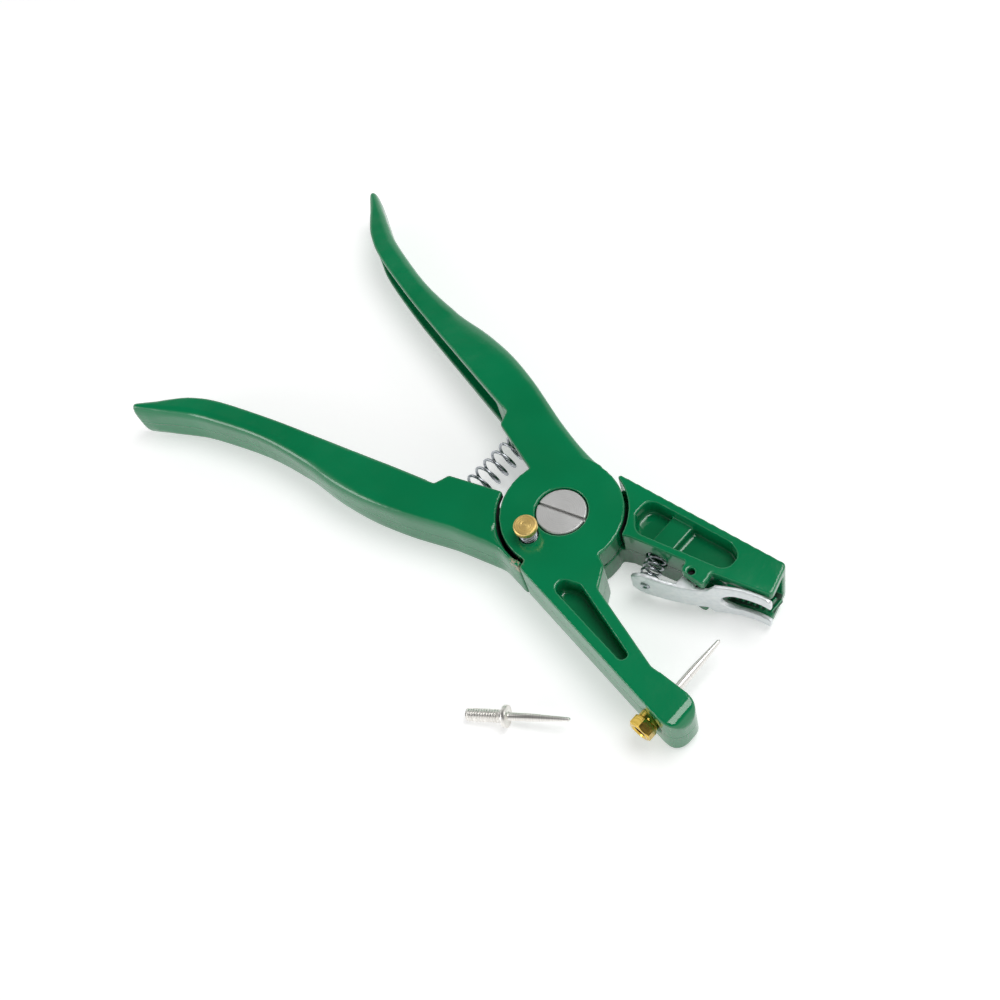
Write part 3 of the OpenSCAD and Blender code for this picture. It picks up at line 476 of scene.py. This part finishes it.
def smooth_by_angle_group():
    tree, given, result = new_shape_group("smooth_by_angle")
    angle = tree.nodes.new("GeometryNodeInputMeshEdgeAngle")
    below = tree.nodes.new("FunctionNodeCompare")
    below.operation = "LESS_THAN"
    below.inputs[1].default_value = SMOOTH_BELOW
    faces = tree.nodes.new("GeometryNodeSetShadeSmooth")
    faces.domain = "FACE"
    edges = tree.nodes.new("GeometryNodeSetShadeSmooth")
    edges.domain = "EDGE"
    tree.links.new(given[0], faces.inputs["Geometry"])
    tree.links.new(faces.outputs[0], edges.inputs["Geometry"])
    tree.links.new(angle.outputs["Unsigned Angle"], below.inputs[0])
    tree.links.new(below.outputs[0], edges.inputs["Shade Smooth"])
    tree.links.new(edges.outputs[0], result[0])
    return tree


joined_faces = joined_faces_group()
smooth_by_angle = smooth_by_angle_group()
print("shape groups:", [group.name for group in (joined_faces, smooth_by_angle)])

# %% [markdown]
# ### Cast edges
# A casting has no sharp edge at all: the mould and the coat leave a small radius everywhere, and a
# large one along the outer edges of the handles, up to the hub. The mesh is therefore rebuilt on
# a fine grid, and its points are drawn towards their neighbours: a few times all over, and many
# times in a band along the handles' outer edges. That band follows the outline of the handles.
# The clip's bent sheet goes through the same steps on a finer grid, without the band.

# %% Cast edges
LEVER_GRID, SHEET_GRID = 0.4, 0.25
EDGE_PASSES, HANDLE_PASSES = 4, 80
BAND_DEPTH, BAND_X = (6.5, 4.0), (1.0, -4.0)
BAND_END, BAND_REACH = (-95.0, -80.0), (21.2, 23.0)
OUTLINE_X, OUTLINE_Y = (4.0, -78.0), (21.0, 41.3)


def drawn_in(tree, geometry, passes, weight):
    place = tree.nodes.new("GeometryNodeInputPosition")
    blur = tree.nodes.new("GeometryNodeBlurAttribute")
    blur.data_type = "FLOAT_VECTOR"
    tree.links.new(place.outputs[0], blur.inputs["Value"])
    blur.inputs["Iterations"].default_value = passes
    fill(tree, blur.inputs["Weight"], weight)
    move = tree.nodes.new("GeometryNodeSetPosition")
    tree.links.new(geometry, move.inputs["Geometry"])
    tree.links.new(blur.outputs[0], move.inputs["Position"])
    return move.outputs[0]


def handle_band(tree, side):
    place = tree.nodes.new("GeometryNodeInputPosition").outputs[0]
    flat = vectors(tree, "MULTIPLY", place, (PER_METRE, PER_METRE * side, 0))
    axes = add(tree, "SeparateXYZ", inputs={0: flat}).outputs
    outline = steps(tree, axes["X"], *OUTLINE_X, *OUTLINE_Y)
    inside = maths(tree, "SUBTRACT", outline, axes["Y"])
    return product(
        tree,
        steps(tree, inside, *BAND_DEPTH),
        steps(tree, axes["X"], *BAND_X),
        steps(tree, axes["X"], *BAND_END),
        steps(tree, vectors(tree, "LENGTH", flat), *BAND_REACH),
    )


def cast_edges_group(name, side):
    tree, given, result = new_shape_group(name)
    shape = drawn_in(tree, given[0], EDGE_PASSES, 1.0)
    if side:
        shape = drawn_in(tree, shape, HANDLE_PASSES, handle_band(tree, side))
    tree.links.new(shape, result[0])
    return tree


print("cast edges:", EDGE_PASSES, "passes all over,", HANDLE_PASSES, "along the handles")

# %% Two ways to dress a node
CAST_FLAT, TURNED_FLAT = math.radians(0.6), math.radians(0.4)
BEVEL_SEGMENTS, BEVEL_FROM = 3, math.radians(30)


def join_faces(piece):
    join = piece.modifiers.new("joined_faces", "NODES")
    join.node_group = joined_faces


def clear_flat(piece, angle):
    clear = piece.modifiers.new("clear_flat", "DECIMATE")
    clear.decimate_type = "DISSOLVE"
    clear.angle_limit = angle


def smooth_curves(piece):
    smooth = piece.modifiers.new("smooth_by_angle", "NODES")
    smooth.node_group = smooth_by_angle


def cast(piece, grid_mm, side=0):
    join_faces(piece)
    grid = piece.modifiers.new("fine_grid", "REMESH")
    grid.mode = "VOXEL"
    grid.voxel_size = grid_mm * MM
    grid.use_smooth_shade = True
    draw = piece.modifiers.new("cast_edges", "NODES")
    draw.node_group = cast_edges_group("cast_edges_" + piece.name, side)
    clear_flat(piece, CAST_FLAT)
    piece.modifiers.new("flat_faces", "WEIGHTED_NORMAL")


def soften(piece, edge_mm):
    join_faces(piece)
    clear_flat(piece, TURNED_FLAT)
    bevel = piece.modifiers.new("edge_round", "BEVEL")
    bevel.width = edge_mm * MM
    bevel.segments = BEVEL_SEGMENTS
    bevel.limit_method = "ANGLE"
    bevel.angle_limit = BEVEL_FROM
    bevel.use_clamp_overlap = False
    smooth_curves(piece)
    weigh = piece.modifiers.new("flat_faces", "WEIGHTED_NORMAL")
    weigh.keep_sharp = True


def paint(piece, material):
    piece.data.materials.clear()
    piece.data.materials.append(material)


print("ways to dress a node: cast, soften")

# %% Dress the nodes that keep their CAD shape
for name, side in (("pin_lever", 1), ("clip_lever", -1)):
    paint(nodes[name], enamel)
    cast(nodes[name], LEVER_GRID, side)
paint(nodes["tag_clip"], zinc)
cast(nodes["tag_clip"], SHEET_GRID)

softened = {
    "pivot_screw": (screw_steel, 0.15),
    "pivot_sleeve_nut": (screw_steel, 0.15),
    "hub_washer": (nut_brass, 0.05),
    "lock_cap": (cap_brass, 0.2),
    "lock_stem": (pin_nickel, 0.1),
    # The clip's pivot pin takes the near-black painted shade of the lug's hole.
    "clip_pivot_pin": (shade_black_steel, 0.1),
}
for name, (material, edge) in softened.items():
    paint(nodes[name], material)
    soften(nodes[name], edge)
print("cast: pin_lever, clip_lever, tag_clip; softened:", ", ".join(softened))

# %% [markdown]
# ## New pieces
# Some small parts are simpler in CAD than they really are. These are built as meshes: a row of
# rings, each ring a list of points, joined by quads and closed at both ends.

# %% Ring mesh helper
def ringed_mesh(name, rings, material, body=None):
    sides = len(rings[0])
    points = [point for ring in rings for point in ring]
    faces = []
    for i in range(len(rings) - 1):
        for k in range(sides):
            a, b = i * sides + k, i * sides + (k + 1) % sides
            faces.append((a, b, b + sides, a + sides))
    faces.append(tuple(reversed(range(sides))))
    last = (len(rings) - 1) * sides
    faces.append(tuple(range(last, last + sides)))
    mesh = bpy.data.meshes.new(name)
    mesh.from_pydata([Vector(p) * MM for p in points], [], faces)
    mesh.validate()
    turned_out = bmesh.new()
    turned_out.from_mesh(mesh)
    bmesh.ops.recalc_face_normals(turned_out, faces=turned_out.faces)
    turned_out.to_mesh(mesh)
    turned_out.free()
    for polygon in mesh.polygons:
        polygon.use_smooth = len(polygon.vertices) == 4
    piece = bpy.data.objects.new(name, mesh)
    bpy.context.scene.collection.objects.link(piece)
    mesh.materials.append(material)
    smooth_curves(piece)
    if body:
        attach(piece, body)
    print(name, len(faces), "faces")
    return piece


# %% [markdown]
# ## Springs
# A spring is one wire wound at an even pitch, with its end turns lying closer. Each runs between
# two parts that move.

# %% Wound wire
PER_TURN, WIRE_SIDES = 40, 14
END_PITCH, CLOSE_TURNS = 0.35, 0.5


def wire_heights(turns):
    count = int(turns * PER_TURN)
    bend = CLOSE_TURNS / turns
    gains = []
    for k in range(count):
        t = (k + 0.5) / count
        gains.append(END_PITCH + (1 - END_PITCH) * min(1.0, t / bend, (1 - t) / bend))
    total = sum(gains)
    heights = [0.0]
    for gain in gains:
        heights.append(heights[-1] + gain / total)
    return heights


def wound_wire(place, direction, mean_r, wire, length, turns, side):
    along = Vector(direction).normalized()
    across = Vector(side).normalized()
    third = along.cross(across)
    heights = wire_heights(turns)
    last = len(heights) - 1
    lead = int(PER_TURN * wire / (2 * math.pi * mean_r))
    rings = []
    for k in range(-lead, last + lead + 1):
        turn = 2 * math.pi * k / PER_TURN
        h = wire / 2 + (length - wire) * heights[max(0, min(last, k))]
        spoke = across * math.cos(turn) + third * math.sin(turn)
        point = Vector(place) + along * h + spoke * mean_r
        up = spoke.cross(along.cross(spoke)).normalized()
        ring = []
        for s in range(WIRE_SIDES):
            a = 2 * math.pi * s / WIRE_SIDES
            ring.append(point + (spoke * math.cos(a) + up * math.sin(a)) * wire / 2)
        rings.append(ring)
    return rings


print("wire of", WIRE_SIDES, "sides,", PER_TURN, "steps per turn")

# %% Handle spring
SPRING_X, MID_Z = -35.5, 10.0
handle_spring = ringed_mesh(
    "handle_spring_wire",
    wound_wire(
        (SPRING_X, -17.2, MID_Z), ALONG_Y,
        mean_r=4.5, wire=1.1, length=34.4, turns=8.5, side=(1, 0, 0),
    ),
    wire_steel,
)
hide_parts("handle_spring")
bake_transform(handle_spring)

# %% Lock spring
lock_spring = ringed_mesh(
    "lock_spring_wire",
    wound_wire(
        (*LOCK, 18.05), UP, mean_r=2.7, wire=0.7, length=5.9, turns=4.5, side=(1, 0, 0)
    ),
    wire_steel,
)
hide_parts("lock_spring")
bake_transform(lock_spring)

# %% Clip spring
CLIP_FOOT = Vector((35.076, 0.881, MID_Z))
CLIP_AXIS = Vector((-0.3058, 0.9521, 0.0)).normalized()
CLIP_SPRING_L = 11.0
clip_spring = ringed_mesh(
    "clip_spring_wire",
    wound_wire(
        CLIP_FOOT, CLIP_AXIS,
        mean_r=3.1, wire=0.85, length=CLIP_SPRING_L, turns=5.0, side=(0, 0, -1),
    ),
    wire_steel,
)
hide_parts("clip_spring")
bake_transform(clip_spring)

# %% [markdown]
# ## Applicator pins
# A pin is turned from one bar: a right-hand thread, a flange, and a tapered needle with a round
# point. The thread is modelled as a true helix: the radius of each ring point depends on how far
# it is along the pitch.

# %% Threaded pin
THREAD_R, THREAD_DEPTH, THREAD_PITCH, THREAD_L = 2.2, 0.25, 0.9, 12.6
CREST_SLOPE, CREST_START, FADE_IN, FADE_OUT = 2.4, 0.5, 0.9, 0.8
FLANGE_R, FLANGE_W, FLANGE_EDGE, FLANGE_CUT = 3.7, 1.6, 0.3, 0.09
NEEDLE_R, NEEDLE_L, NEEDLE_ROOT, NEEDLE_FILLET = 1.35, 20.6, 7.0, 0.5
POINT_R, POINT_ANGLES = 0.65, (30, 55, 75)
PIN_SIDES, ROWS_PER_PITCH = 40, 8


def thread_radius(z, angle):
    phase = (z / THREAD_PITCH - angle / (2 * math.pi)) % 1.0
    crest = max(0.0, min(1.0, CREST_SLOPE * (1 - abs(2 * phase - 1)) - CREST_START))
    fade = max(0.0, min(1.0, (z + THREAD_L) / FADE_IN, (-FADE_OUT - z) / FADE_OUT))
    return THREAD_R - THREAD_DEPTH + THREAD_DEPTH * crest * fade


def pin_rows():
    # A row without a radius belongs to the thread.
    start, root, tip = -THREAD_L, THREAD_R - THREAD_DEPTH, FLANGE_W + NEEDLE_L
    rows = [(start, THREAD_R - 0.7), (start, THREAD_R - 0.45), (start + 0.15, None)]
    z = start + 0.25
    while z < -0.6:
        rows.append((z, None))
        z += THREAD_PITCH / ROWS_PER_PITCH
    rows += [(-0.5, root), (0.0, root), (0.0, FLANGE_R - FLANGE_EDGE)]
    rows += [(FLANGE_CUT, FLANGE_R - FLANGE_CUT), (FLANGE_EDGE, FLANGE_R)]
    rows += [(FLANGE_W - FLANGE_EDGE, FLANGE_R), (FLANGE_W - FLANGE_CUT, FLANGE_R - FLANGE_CUT)]
    rows += [(FLANGE_W, FLANGE_R - FLANGE_EDGE), (FLANGE_W, NEEDLE_R + NEEDLE_FILLET)]
    rows += [(FLANGE_W + 0.15, NEEDLE_R + 0.15), (FLANGE_W + NEEDLE_FILLET, NEEDLE_R)]
    rows += [(FLANGE_W + NEEDLE_ROOT, NEEDLE_R), (tip - POINT_R, POINT_R)]
    for angle in POINT_ANGLES:
        bend = math.radians(angle)
        rows.append((tip - POINT_R + POINT_R * math.sin(bend), POINT_R * math.cos(bend)))
    return rows


def pin_rings(turn, place):
    rings = []
    for z, radius in pin_rows():
        ring = []
        for k in range(PIN_SIDES):
            angle = 2 * math.pi * k / PIN_SIDES
            r = thread_radius(z, angle) if radius is None else radius
            spot = Vector((r * math.cos(angle), r * math.sin(angle), z))
            ring.append(Vector(place) + turn @ spot)
        rings.append(ring)
    return rings


print("pin of", len(pin_rows()), "rings")

# %% Pin in the arm
PIN_FACE = -23.2
along_y = Matrix.Rotation(math.radians(-90), 3, "X")
working_pin = ringed_mesh(
    "applicator_pin_turned", pin_rings(along_y, (PIN[0], PIN_FACE, PIN[1])), pin_nickel, "pin_lever"
)
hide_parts("applicator_pin")

# %% [markdown]
# The spare pin lies on its flange and on the end of its thread, so it leans a little.

# %% Spare pin
SPARE_PLACE, SPARE_ANGLE = (27.5, -61.6), math.radians(34.0)
spare_lean = math.asin((FLANGE_R - THREAD_R) / THREAD_L)
lying = Matrix.Rotation(math.radians(90) - spare_lean, 3, "Y")
spare_turn = Matrix.Rotation(SPARE_ANGLE, 3, "Z") @ lying
spare_place = Vector((*SPARE_PLACE, FLANGE_R * math.cos(spare_lean)))
spare_nickel = turned_metal(
    "spare_nickel", NICKEL_LIGHT, NICKEL_DARK, spare_place, spare_turn @ Vector(UP), **NICKEL_MARKS
)
lying_pin = ringed_mesh(
    "spare_pin_turned", pin_rings(spare_turn, spare_place), spare_nickel, "spare_pin"
)
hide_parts("spare_pin")

# %% [markdown]
# ## Brass nut
# The nut was turned first and milled to a hexagon after that, so each flat ends in a curved
# chamfer. A ring point takes the smaller of the two radii: the turned one and the flat's.

# %% Brass nut
NUT_SEAT, SLEEVE_R, SLEEVE_L = -33.46, 3.1, 5.0
COLLAR_R, COLLAR_L, COLLAR_CUT = 3.6, 2.4, 0.25
HEX_W, HEX_L, FRONT_CUT, BACK_CUT = 7.4, 3.8, 0.5, 0.3
BORE_R, BORE_FLOOR, BORE_CUT = 2.25, 1.0, 0.45
NUT_SIDES, FRONT_ROWS, BACK_ROWS = 96, 4, 3


def hexagon_radius(angle):
    sixth = math.pi / 3
    return HEX_W / 2 / math.cos((angle + sixth / 2) % sixth - sixth / 2)


def nut_rows():
    # The last value of a row says whether the hexagon's flats cut it.
    flat, corner = HEX_W / 2, HEX_W / math.sqrt(3)
    hex_start, hex_end = -COLLAR_L, -COLLAR_L - HEX_L
    rows = [(hex_start - BORE_FLOOR, BORE_R, False), (hex_end + FRONT_CUT, BORE_R, False)]
    rows += [(hex_end, BORE_R + BORE_CUT, False), (hex_end, flat - 0.25, False)]
    for i in range(FRONT_ROWS + 1):
        part = i / FRONT_ROWS
        rows.append((hex_end + FRONT_CUT * part, flat - 0.2 + (corner - flat + 0.2) * part, True))
    for i in range(BACK_ROWS + 1):
        part = i / BACK_ROWS
        radius = corner - (corner - flat + 0.1) * part
        rows.append((hex_start - BACK_CUT + BACK_CUT * part, radius, True))
    rows += [(hex_start, COLLAR_R - COLLAR_CUT, False), (hex_start + COLLAR_CUT, COLLAR_R, False)]
    rows += [(-COLLAR_CUT, COLLAR_R, False), (0.0, COLLAR_R - COLLAR_CUT, False)]
    rows += [(0.0, SLEEVE_R, False), (SLEEVE_L, SLEEVE_R, False), (SLEEVE_L, BORE_R, False)]
    return rows


def nut_rings():
    rings = []
    for z, radius, flat in nut_rows():
        ring = []
        for k in range(NUT_SIDES):
            angle = 2 * math.pi * k / NUT_SIDES
            r = min(radius, hexagon_radius(angle)) if flat else radius
            ring.append((PIN[0] + r * math.cos(angle), NUT_SEAT + z, PIN[1] - r * math.sin(angle)))
        rings.append(ring)
    return rings


brass_nut = ringed_mesh("pin_nut_turned", nut_rings(), nut_brass, "pin_lever")
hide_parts("pin_nut")

# %% [markdown]
# ## Clip rivet
# The stud in the clip's tail was pressed up with a hollow punch, so its head has a low rim
# round a dimple.

# %% Clip rivet
RIVET_R, RIVET_HEAD_R, RIVET_OUT, RIVET_HEAD_T, RIVET_END = 1.0, 1.7, -1.8, 0.5, 2.2
RIVET_SEAT, RIVET_CUT, RIVET_SIDES = 0.05, 0.2, 40
DIMPLE_AND_RIM = ((0.42, 0.15), (0.4, 0.55), (0.12, 0.85), (0.0, 1.1), (0.03, 1.35), (0.2, 1.62))
rivet_side = Vector(UP)
rivet_third = CLIP_AXIS.cross(rivet_side)


def rivet_rings():
    top, under_head = RIVET_OUT - RIVET_HEAD_T, RIVET_OUT - RIVET_SEAT
    rows = [(top + below, r) for below, r in DIMPLE_AND_RIM]
    rows += [(under_head, RIVET_HEAD_R), (under_head, RIVET_R)]
    rows += [(RIVET_END - RIVET_CUT, RIVET_R), (RIVET_END, RIVET_R - RIVET_CUT)]
    rings = []
    for z, r in rows:
        ring = []
        for k in range(RIVET_SIDES):
            a = 2 * math.pi * k / RIVET_SIDES
            spoke = rivet_side * math.cos(a) - rivet_third * math.sin(a)
            ring.append(CLIP_FOOT + CLIP_AXIS * z - spoke * r)
        rings.append(ring)
    return rings


stud = ringed_mesh("clip_rivet_pressed", rivet_rings(), wire_steel, "tag_clip")
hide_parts("clip_rivet")

# %% [markdown]
# ## Gripping ribs
# Small ribs cross the lower plate of the jaw behind the fork and keep the tag from sliding. Each
# is a bar with a crowned top, and starts a little behind the plate's slanting lip.

# %% Gripping ribs
RIB_COUNT, RIB_W, RIB_L, RIB_TOP, RIB_ROOT = 7, 1.0, 5.5, 4.66, 3.4
RIB_FIRST, RIB_PITCH = 59.0, 13.2 / RIB_COUNT
RIB_SHOULDER, RIB_CROWN, RIB_END, RIB_OVER = 0.35, 0.06, 0.2, 0.03
LIP_Y, LIP_SLOPE, LIP_SETBACK = -1.95, 0.268, 1.0


def lip(x):
    return LIP_Y + LIP_SLOPE * x


def rib_ring(x, y, shrink):
    half, top = RIB_W / 2 - shrink, RIB_TOP - shrink
    profile = [(-half, RIB_ROOT), (-half, top - RIB_SHOULDER)]
    profile += [(-half / 2, top - RIB_CROWN), (0.0, top)]
    profile += [(-across, z) for across, z in reversed(profile[:3])]
    return [(x + RIB_W / 2 + across, y, z) for across, z in profile]


for k in range(RIB_COUNT):
    x = RIB_FIRST + k * RIB_PITCH - RIB_OVER
    start = lip(x + RIB_PITCH) + LIP_SETBACK
    stop = start + RIB_L
    rows = [(start - RIB_OVER, RIB_END), (start + RIB_END, 0.0)]
    rows += [(stop - RIB_END, 0.0), (stop + RIB_OVER, RIB_END)]
    rings = [rib_ring(x, y, shrink) for y, shrink in rows]
    ringed_mesh(f"grip_rib_{k + 1}", rings, enamel, "clip_lever")

# %% [markdown]
# ## Stage and light
# The photo is a product shot on white with a faint, soft shadow. A large soft lamp hangs above the
# pliers, a little to the far side, and a small one stands low on the near side and lights the
# castings' sides. Both keep out of the line in which the flat tops mirror, so that the green stays
# deep. The room is white low down and dim above. The floor is pale paper, lit up a little for the
# camera, so that it comes out white and still keeps the shadow.

# %% Floor
PAPER_DARK, PAPER_LIGHT, PAPER_GLOW = grey(0.80), grey(0.83), 0.44
FLOOR_HALF, FLOOR_Z = 2.0, -0.00015


def floor_paper():
    material, tree, sockets = new_finish("floor_paper", Roughness=0.9, Specular_IOR_Level=0.1)
    fleck = effect(tree, soft_patches, Size=1.5, Detail=3.0, Low=0.2, High=0.8)
    fill(tree, sockets["Base Color"], mixed(tree, fleck, PAPER_DARK, PAPER_LIGHT))
    ray = add(tree, "LightPath").outputs
    seen = maths(tree, "MAXIMUM", ray["Is Camera Ray"], ray["Is Glossy Ray"])
    seen = maths(tree, "MAXIMUM", seen, ray["Is Transmission Ray"])
    sockets["Emission Color"].default_value = grey(1.0)
    fill(tree, sockets["Emission Strength"], product(tree, seen, PAPER_GLOW))
    return material


floor_mesh = bpy.data.meshes.new("floor")
ways = ((-1, -1), (1, -1), (1, 1), (-1, 1))
corners = [(FLOOR_HALF * x, FLOOR_HALF * y, FLOOR_Z) for x, y in ways]
floor_mesh.from_pydata(corners, [], [(0, 1, 2, 3)])
floor = bpy.data.objects.new("floor", floor_mesh)
bpy.context.scene.collection.objects.link(floor)
floor_mesh.materials.append(floor_paper())
print("floor:", 2 * FLOOR_HALF, "m wide")

# %% Room
ROOM_HEIGHTS, ROOM_LEVELS = (0.45, 0.76), (0.95, 0.06)


def white_room():
    world = bpy.data.worlds.new("white_room")
    world.use_nodes = True
    tree = world.node_tree
    tree.nodes.clear()
    way = add(tree, "TexCoord").outputs["Generated"]
    height = add(tree, "SeparateXYZ", inputs={"Vector": way}).outputs["Z"]
    level = steps(tree, height, *ROOM_HEIGHTS, *ROOM_LEVELS)
    seen = add(tree, "LightPath").outputs["Is Camera Ray"]
    shade = mixed(tree, seen, level, grey(1.0))
    back = add(tree, "Background", inputs={"Color": shade, "Strength": 1.0})
    out = add(tree, "OutputWorld")
    tree.links.new(back.outputs[0], out.inputs["Surface"])
    return world


bpy.context.scene.world = white_room()
print("room:", bpy.context.scene.world.name)

# %% Lamps
def soft_lamp(name, place, target, size, watts):
    lamp = bpy.data.lights.new(name, "AREA")
    lamp.shape = "DISK"
    lamp.size = size
    lamp.energy = watts
    stand = bpy.data.objects.new(name, lamp)
    bpy.context.scene.collection.objects.link(stand)
    stand.location = place
    stand.rotation_euler = (Vector(target) - Vector(place)).to_track_quat("-Z", "Y").to_euler()
    print(name, watts, "W")


soft_lamp("key_softbox", place=(0.17, 0.32, 0.94), target=(-0.02, 0.0, 0.0), size=0.62, watts=4.9)
soft_lamp("front_softbox", place=(-0.46, -0.80, 0.28), target=(0.0, 0.0, 0.0), size=0.4, watts=1.4)
